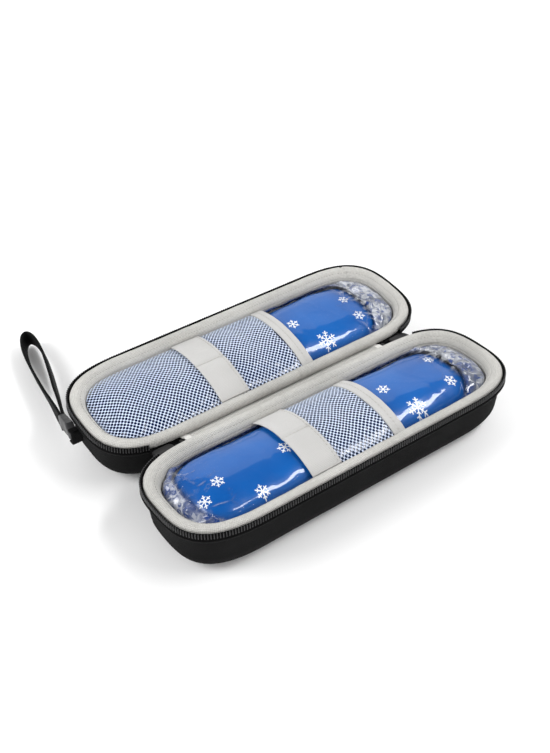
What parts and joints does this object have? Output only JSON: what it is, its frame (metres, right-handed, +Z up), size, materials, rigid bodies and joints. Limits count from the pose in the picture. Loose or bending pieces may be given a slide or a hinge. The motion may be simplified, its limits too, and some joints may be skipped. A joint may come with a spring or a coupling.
{
  "type": "insulin cooling case",
  "caption": "Zipped travel cooling case for insulin, lying open: two lined shells on a fabric hinge, each with a gel ice pack under net and elastic, and a wrist loop on one end.",
  "frame": {"origin": "centre of the base half's flat underside, on the surface that it lies on", "axes": "+X along the case, +Y across the hinge from the base to the lid, +Z up out of the open base"},
  "size_m": [0.218, 0.2366, 0.0387],
  "materials": {
    "black_fabric": "matt woven cover over a moulded foam shell",
    "grey_fabric": "pale grey padded cloth",
    "foam": "insulating foam, hidden",
    "zip_tape": "black woven tape",
    "zip_coil": "black coil",
    "blue_gel": "blue film filled with gel",
    "clear_film": "clear crinkled film",
    "white_net": "white mesh",
    "slider_metal": "dark enamel",
    "black_webbing": "black webbing",
    "keeper": "smooth dark grey"
  },
  "bodies": {
    "base": {"base_shell": "black_fabric", "base_insulation": "foam", "base_lining": "grey_fabric", "base_rim_roll": "grey_fabric", "base_zip_tape": "zip_tape", "base_zip_coil": "zip_coil", "base_gel_pack": "blue_gel", "base_pack_sleeve": "clear_film", "base_mesh_net": "white_net", "base_net_hem": "grey_fabric", "base_wide_band": "grey_fabric"},
    "spine": {"spine_lining": "grey_fabric", "spine_outer": "black_fabric", "left_chain_end": "zip_tape", "left_chain_stop": "zip_coil", "right_chain_end": "zip_tape", "right_chain_stop": "zip_coil"},
    "lid": {"lid_shell": "black_fabric", "lid_insulation": "foam", "lid_lining": "grey_fabric", "lid_rim_roll": "grey_fabric", "lid_zip_tape": "zip_tape", "lid_zip_coil": "zip_coil", "lid_gel_pack": "blue_gel", "lid_pack_sleeve": "clear_film", "lid_mesh_net": "white_net", "lid_net_hem": "grey_fabric", "lid_wide_band": "grey_fabric", "strap_anchor": "black_webbing"},
    "left_slider": {"left_slider": "slider_metal"},
    "right_slider": {"right_slider": "slider_metal"},
    "left_pull": {"left_pull": "slider_metal"},
    "right_pull": {"right_pull": "slider_metal"},
    "strap": {"strap_keeper": "keeper", "wrist_strap": "black_webbing"}
  },
  "joints": [
    {"name": "spine_fold", "type": "hinge", "parent": "base", "child": "spine", "pos_m": [0, 0.034, 0.028], "axis": [1, 0, 0], "range_deg": [0, 104.2]},
    {"name": "lid_fold", "type": "hinge", "parent": "spine", "child": "lid", "pos_m": [0, 0.04233, 0.02587], "axis": [1, 0, 0], "range_deg": [0, 67.9]},
    {"name": "left_slider_run", "type": "slide", "parent": "spine", "child": "left_slider", "axis": [-1, 0, 0], "range_m": [0, 0.006]},
    {"name": "right_slider_run", "type": "slide", "parent": "spine", "child": "right_slider", "axis": [1, 0, 0], "range_m": [0, 0.006]},
    {"name": "left_pull_swing", "type": "hinge", "parent": "left_slider", "child": "left_pull", "pos_m": [-0.079, 0.03705, 0.02258], "axis": [0, 0.9689, -0.2474], "range_deg": [-75, 75]},
    {"name": "right_pull_swing", "type": "hinge", "parent": "right_slider", "child": "right_pull", "pos_m": [0.079, 0.03705, 0.02258], "axis": [0, 0.9689, -0.2474], "range_deg": [-75, 75]},
    {"name": "strap_swing", "type": "hinge", "parent": "lid", "child": "strap", "pos_m": [-0.10895, 0.08052, 0.02421], "axis": [0, 0, 1], "range_deg": [0, 100]}
  ],
  "couplings": [
    {"joint": "lid_fold", "follows": "spine_fold", "ratio": 0.65115}
  ]
}
